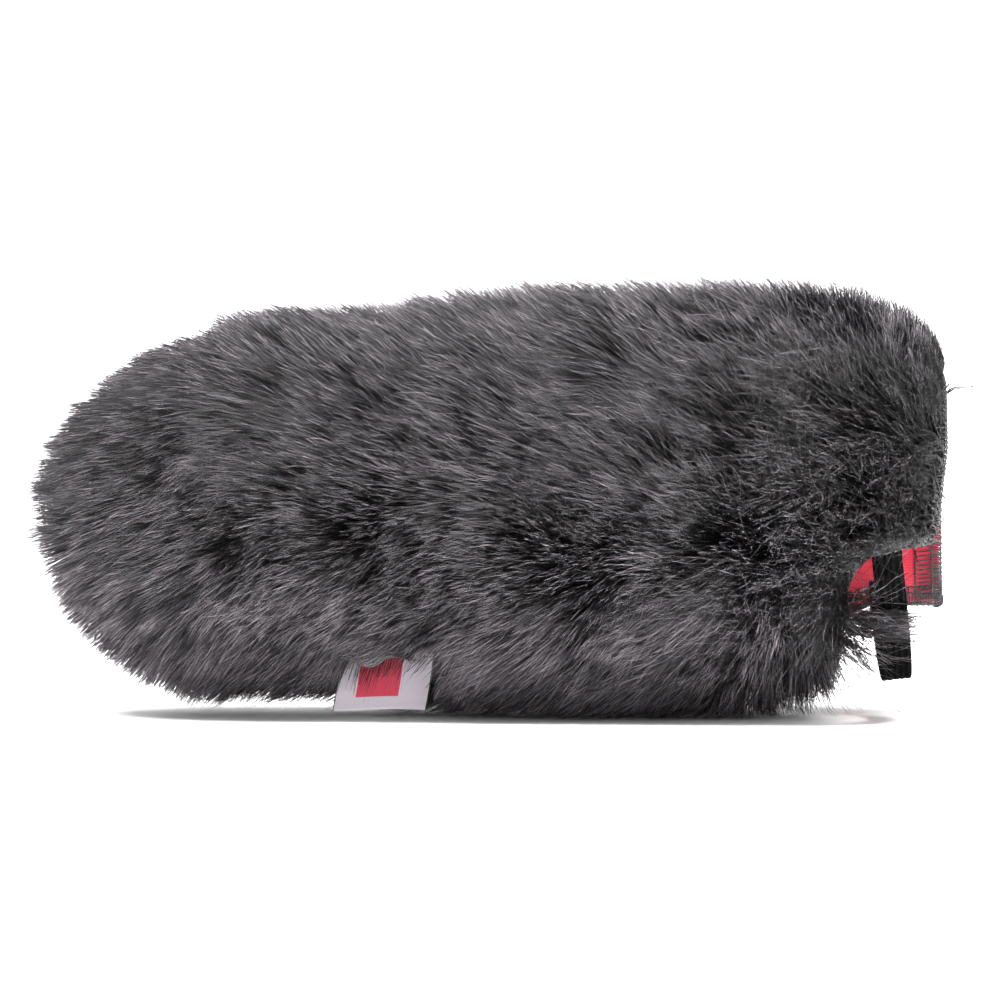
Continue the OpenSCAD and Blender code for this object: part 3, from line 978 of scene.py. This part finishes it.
def mouth_stitches():
    dice = np.random.default_rng(5)
    obj = overlock("rim_stitches", rim_edge(), -1, RIM_STITCH_REACH, dice)
    finish_piece(obj, THREAD, "cover", "rim_overlock")
    for side in (NEAR, FAR):
        obj = overlock("slit_stitches_" + SIDE_NAMES[side], slit_edge(side), side, SLIT_STITCH_REACH, dice)
        finish_piece(obj, THREAD, "cover", "slit_overlock_" + SIDE_NAMES[side])


def zigzag(soup, start, end, across, count):
    """A dense bar of thread that goes to and fro over a line."""
    t = np.linspace(0, 1, count * 2 + 1)
    line = np.asarray(start) * (1 - t)[:, None] + np.asarray(end) * t[:, None]
    swing = np.where(np.arange(len(t)) % 2 == 0, -1, 1)[:, None] * np.asarray(across)
    add_tube(soup, smooth_path(line + swing, 1), TACK_THREAD_RADIUS)


def closing_seam():
    """Two threads that hold the panels together along the top, round the nose and along the bottom."""
    soup = Soup()
    x, radius = sock_outline(0, step=0.8 * MM)
    top = pair(x[::-1], AXIS_HEIGHT + radius[::-1])
    low = pair(x, AXIS_HEIGHT - radius)[x < SLIT_X]
    line = resample(np.concatenate([top, low]), 0.8 * MM)
    out = unit(np.stack([np.gradient(line[:, 1]), -np.gradient(line[:, 0])], axis=-1))
    step = np.arange(len(line)) % 4
    sway = np.array([-0.4, 0.1, 0.4, -0.1])[step] * MM
    lift = np.array([-0.1, 0.9, 1.5, 0.6])[step] * MM
    place = line + out * lift[:, None]
    for side in (1, -1):
        path = np.stack([place[:, 0], side * sway, place[:, 1]], axis=-1)
        add_tube(soup, smooth_path(path, 2), THREAD_RADIUS)
    finish_piece(soup.build("closing_seam_stitches"), THREAD, "cover", "closing_seam")


def bar_tacks():
    """The tack at the slit's front end, and two across each sewn end of the elastic."""
    soup = Soup()
    height = AXIS_HEIGHT - LINING_MOUTH_RADIUS + 0.5 * MM
    for ahead_of_slit in (1.75 * MM, 3.15 * MM):
        x = SLIT_X - ahead_of_slit
        zigzag(soup, (x, -3 * MM, height), (x, 3 * MM, height), (0.4 * MM, 0, 0), 22)
    finish_piece(soup.build("slit_bar_tack"), THREAD, "cover", "slit_bartack")

    radius = STRAP_RADIUS - STRAP_THICKNESS / 2 - 0.18 * MM
    half = 2.9 * MM
    first_angles = {NEAR: STRAP_NEAR_ANGLE - STRAP_END_SWEEP, FAR: STRAP_FAR_ANGLE + radians(1.2)}
    for side, first in first_angles.items():
        soup = Soup()
        for share in (0.26, 0.74):
            angle = first + share * radians(16)
            along = np.array([0, cos(angle), sin(angle)]) * 0.4 * MM
            zigzag(soup, wrap(STRAP_X - half, radius, angle), wrap(STRAP_X + half, radius, angle), along, 20)
        obj = soup.build("strap_tack_stitches_" + SIDE_NAMES[side])
        finish_piece(obj, THREAD, "cover", "strap_tack_" + SIDE_NAMES[side])


# ---- elastic, label and foam

STRAP_MIDDLE_ANGLE = (STRAP_NEAR_ANGLE + STRAP_FAR_ANGLE) / 2
STRAP_HALF_ANGLE = (STRAP_FAR_ANGLE - STRAP_NEAR_ANGLE) / 2
STRAP_RIBS = 5
FORWARD = np.array([1.0, 0, 0])


def strap_middle():
    """The middle of the line between the loop's two ends, and the directions across and down from it."""
    middle = wrap(STRAP_X, STRAP_RADIUS * cos(STRAP_HALF_ANGLE), STRAP_MIDDLE_ANGLE)
    across = np.array([0, cos(STRAP_MIDDLE_ANGLE), sin(STRAP_MIDDLE_ANGLE)])
    down = np.array([0, sin(STRAP_MIDDLE_ANGLE), -cos(STRAP_MIDDLE_ANGLE)])
    return middle, across, down


def strap_line():
    """Middle line of the elastic from sewn end to sewn end, with its width and face directions."""
    middle, across, down = strap_middle()
    chord = STRAP_RADIUS * sin(STRAP_HALF_ANGLE)
    hang = cos(LOOP_LEAN) * down + sin(LOOP_LEAN) * FORWARD
    near_angles = np.linspace(STRAP_NEAR_ANGLE - STRAP_END_SWEEP, STRAP_NEAR_ANGLE, 18)[:-1]
    far_angles = np.linspace(STRAP_FAR_ANGLE, STRAP_FAR_ANGLE + STRAP_END_SWEEP, 18)[1:]
    turn = np.linspace(0, pi, 120)[:, None]
    loop = middle - chord * np.cos(turn) * across + LOOP_DEPTH * np.sin(turn) * hang
    path = resample(np.concatenate([wrap(STRAP_X, STRAP_RADIUS, near_angles), loop,
                                    wrap(STRAP_X, STRAP_RADIUS, far_angles)]), 0.35 * MM)
    for _ in range(10):
        path[1:-1] = path[1:-1] * 0.5 + (path[:-2] + path[2:]) * 0.25
    drop = (path - middle) @ down
    lean = LOOP_LEAN * smooth(drop / (8 * MM))[:, None]
    width = np.cos(lean) * FORWARD - np.sin(lean) * down
    face = unit(np.cross(width, unit(np.gradient(path, axis=0))))
    return path, width, face


def strap():
    """Ribbed elastic, in one piece from sewn end to sewn end, with thin edges."""
    path, width, face = strap_line()
    t = np.linspace(-0.5, 0.5, 61)
    rib = np.abs(np.sin((t + 0.5) * STRAP_RIBS * pi)) ** 0.6
    edge = np.clip((0.5 - np.abs(t)) / 0.03, 0, 1) ** 0.5
    half = STRAP_THICKNESS / 2 * (0.62 + 0.38 * rib) * (0.35 + 0.65 * edge)
    middle = path[:, None] + t[None, :, None] * STRAP_WIDTH * width[:, None]
    thick = half[None, :, None] * face[:, None]
    flat = pair(distance_along(path)[:, None], (t * STRAP_WIDTH)[None, :])
    obj = shell("elastic_strap", middle + thick, middle - thick, flat)
    obj.data.materials.append(ELASTIC)
    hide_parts("strap_loop", "strap_end_left", "strap_end_right")
    start, _, down = strap_middle()
    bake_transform(obj)


def label():
    """Two plies of satin with a round fold at the bottom and a slight wave."""
    ply = 0.32 * MM
    half_gap = 0.2 * MM
    straight = LABEL_LENGTH - 0.4 * MM
    run = np.linspace(0, straight, 40)
    fold = np.linspace(0, pi, 13)[1:-1]
    middle_line = np.concatenate([
        pair(run, half_gap),
        pair(straight + half_gap * np.sin(fold), half_gap * np.cos(fold)),
        pair(run[::-1], -half_gap)])
    tangent = unit(np.gradient(middle_line, axis=0))
    normal = np.stack([-tangent[:, 1], tangent[:, 0]], axis=-1)
    x = np.linspace(-LABEL_WIDTH / 2, LABEL_WIDTH / 2, 43)
    hinge = np.array([LABEL_X, 0, LABEL_HINGE_HEIGHT])
    down = np.array([0, -sin(LABEL_LEAN), -cos(LABEL_LEAN)])
    out = np.array([0, -cos(LABEL_LEAN), sin(LABEL_LEAN)])

    def layer(offset):
        """One face of the satin, at a distance from its middle."""
        line = middle_line + normal * offset
        share = line[:, :1] / LABEL_LENGTH
        wave = 0.45 * MM * share * np.sin(x[None, :] / (4.2 * MM) + 0.6)
        lift = line[:, 1:2] + wave - 0.5 * MM * share * share
        slant = x[None, :] - 1.5 * MM * share * share
        drop = np.broadcast_to(line[:, :1], slant.shape)
        return hinge + slant[..., None] * FORWARD + drop[..., None] * down + lift[..., None] * out

    flat = pair((x + LABEL_WIDTH / 2)[None, :], distance_along(middle_line)[:, None])
    obj = shell("satin_label", layer(ply / 2), layer(-ply / 2), flat)
    finish_piece(obj, SATIN, "tag", "label")


def foam():
    """Foam core with its bore, and the uneven skin of cut foam."""
    tip_x = SOCK_NOSE_X + 1 * MM
    nose_length = SOCK_NOSE_LENGTH - 1 * MM
    outer_radius = 25 * MM
    bore_radius = 10 * MM
    end_x = foam_high.x
    bore_start = end_x - 140 * MM
    round_out, round_in = 1.5 * MM, 0.5 * MM
    turn = np.radians(np.linspace(1, 90, 30))
    nose = np.stack([tip_x + nose_length * (1 - np.cos(turn)), outer_radius * np.sin(turn)], axis=-1)
    corners = [(end_x - round_out, outer_radius), (end_x, outer_radius - round_out),
               (end_x, bore_radius + round_in), (end_x - round_in, bore_radius),
               (bore_start, bore_radius), (bore_start - round_in, bore_radius - round_in),
               (bore_start - round_in, 0.3 * MM)]
    outline = resample(np.concatenate([nose, corners]), 1.2 * MM)
    angle = np.linspace(0, 2 * pi, 121)[None, :-1]
    points = wrap(outline[:, :1], outline[:, 1:], angle)
    rough = SmoothNoise(77, 3.2 * MM)(points)
    centre = np.array([0, 0, AXIS_HEIGHT]) + points * FORWARD
    points = centre + (points - centre) * (1 - 0.004 * np.abs(rough)[..., None])
    soup = Soup()
    soup.add_grid(points, pair(outline[:, :1], angle * outer_radius), close_u=True)
    obj = soup.build("foam_insert")
    finish_piece(obj, FOAM, "core", "foam_core")


# ---- stage


def look_along(direction):
    """Turn that points a lamp or camera along a direction, level with the horizon."""
    x, y, z = direction
    flat = hypot(x, y)
    return (atan2(flat, -z), 0, atan2(y, x) - pi / 2)


def place_in_scene(name, data, place, direction):
    obj = bpy.data.objects.new(name, data)
    bpy.context.scene.collection.objects.link(obj)
    obj.location = place
    obj.rotation_euler = look_along(direction)
    return obj


def soft_box(name, place, target, size, power, spread=pi):
    light = bpy.data.lights.new(name, "AREA")
    light.shape = "RECTANGLE"
    light.spread = spread
    light.size, light.size_y = size
    light.energy = power
    place_in_scene(name, light, place, np.asarray(target) - np.asarray(place))


def white_sweep():
    """A floor that turns up behind the object in a smooth curve."""
    white = Nodes("studio_white", roughness=0.9, specular=0.1)
    white.colour(grey(0.93))
    turn = np.linspace(0.1, pi / 2, 16)
    depth = np.concatenate([np.linspace(-4.0, 1.2, 12), 1.2 + 0.8 * np.sin(turn), np.full(6, 2.0)])
    height = np.concatenate([np.zeros(12), 0.8 - 0.8 * np.cos(turn), np.linspace(1.0, 4.0, 6)])
    wide = np.linspace(-3.0, 3.0, 9)[None, :]
    height = height[:, None] - 0.02 * MM
    points = np.stack(np.broadcast_arrays(wide, depth[:, None], height), axis=-1)
    soup = Soup()
    soup.add_grid(points, points[..., :2])
    sweep = soup.build("studio_sweep")
    sweep.data.materials.append(white.material)


def studio():
    """White sweep, soft boxes and a long lens from the near side."""
    white_sweep()
    middle = (0, 0, AXIS_HEIGHT)
    soft_box("key_light", (-0.5, -0.45, 1.1), middle, (0.5, 0.4), 32)
    soft_box("top_light", (0.1, 0.35, 1.1), middle, (1.2, 0.8), 40)
    soft_box("fill_light", (0.2, -1.3, 0.14), middle, (1.2, 0.2), 3)
    soft_box("floor_light", (0, -0.2, 0.28), (0, -0.19, 0), (0.34, 0.08), 16, spread=radians(50))
    soft_box("sweep_light", (0, 0.6, 1.9), (0, 2.0, 0.4), (2.5, 0.6), 60)

    world = bpy.data.worlds.new("studio_world")
    bpy.context.scene.world = world
    world.use_nodes = True
    colour, strength = world.node_tree.nodes["Background"].inputs[:2]
    colour.default_value = (1, 1, 1, 1)
    strength.default_value = 1.0
    bpy.context.scene.view_settings.view_transform = "Standard"

    azimuth, elevation, distance = radians(3), radians(1.5), 1.25
    target = np.array([4 * MM, 0, AXIS_HEIGHT + 0.4 * MM])
    back = np.array([sin(azimuth) * cos(elevation), -cos(azimuth) * cos(elevation),
                     sin(elevation)])
    lens = bpy.data.cameras.new("camera")
    lens.lens = 200
    lens.sensor_width = 36
    lens.clip_start = 0.05
    lens.clip_end = 30
    bpy.context.scene.camera = place_in_scene("camera", lens, target + back * distance, -back)


# ---- the whole object

BROAD_FIELD = SmoothNoise(101, 26 * MM)
LOCAL_FIELD = SmoothNoise(102, 9 * MM)
SWIRL_FIELD = SmoothNoise(103, 22 * MM)
LOCAL_SWIRL_FIELD = SmoothNoise(104, 7 * MM)
SHADE_FIELD = SmoothNoise(105, 5 * MM)

PILE = pile_material()
BACKING = backing_material()
LINING = lining_material()
THREAD = thread_material()
ELASTIC = elastic_material()
SATIN = satin_material()
FOAM = foam_material()

pile_pieces = pile()
for panel_side in (NEAR, FAR):
    lining_cloth = cloth_panel("lining_cloth_", panel_side, LINING_FACES, LINING, "lining_")
    backing_cloth = cloth_panel("pile_backing_", panel_side, BACKING_FACES, BACKING, "fur_")
mouth_stitches()
closing_seam()
bar_tacks()
strap()
foam()
label()
studio()
